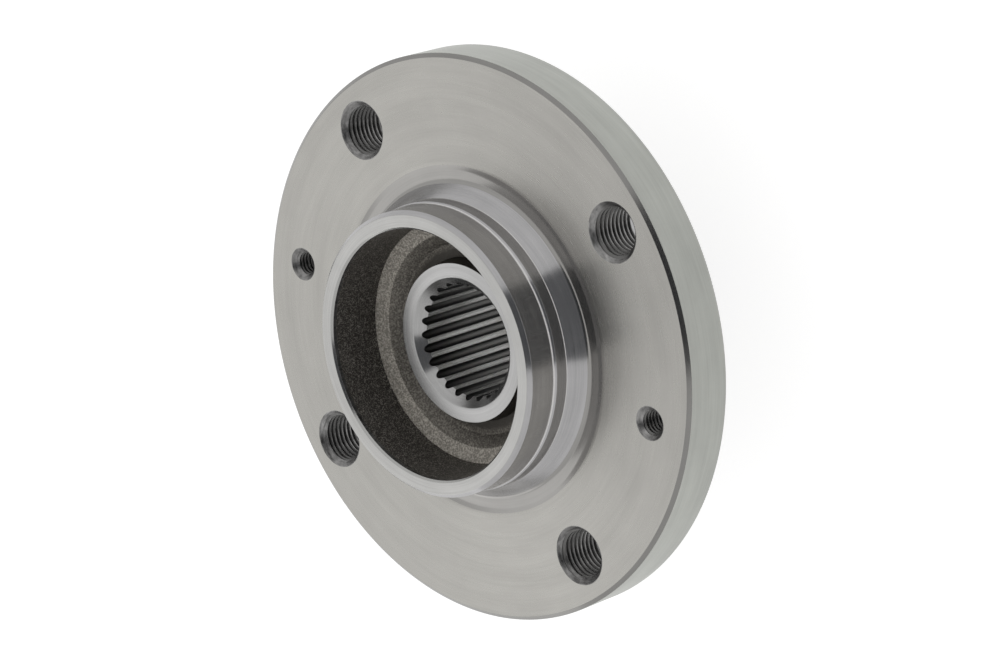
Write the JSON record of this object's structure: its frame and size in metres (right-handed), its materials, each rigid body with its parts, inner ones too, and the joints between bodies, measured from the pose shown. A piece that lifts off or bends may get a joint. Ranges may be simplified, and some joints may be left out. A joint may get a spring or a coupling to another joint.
{
  "type": "wheel hub",
  "caption": "Splined front wheel hub with a bolt flange, a stepped centring spigot, a recessed seat for the axle nut and a ground journal for a pressed wheel bearing.",
  "frame": {"origin": "on the axle's line, at the centre of the spline and of the wheel bolt circle, in the plane of the wheel face", "axes": "+Z along the axle towards the wheel, +X through the first wheel bolt hole; the bearing journal points to -Z"},
  "size_m": [0.1296, 0.1296, 0.0685],
  "materials": {
    "turned_flange": "fine-turned steel face with concentric lay; dull grey oxide on the rim",
    "turned_spigot": "bright turned steel registers; dark forged skin inside",
    "forged_recess": "as forged and shot-blasted, grainy and dark",
    "machined_boss": "bright faced nut seat and broached spline",
    "turned_shoulder": "turned steel",
    "ground_journal": "ground steel"
  },
  "bodies": {
    "root": {"wheel_flange": "turned_flange", "wheel_spigot": "turned_spigot", "recess_web": "forged_recess", "nut_boss": "machined_boss", "bearing_shoulder": "turned_shoulder", "bearing_journal": "ground_journal"}
  },
  "joints": []
}
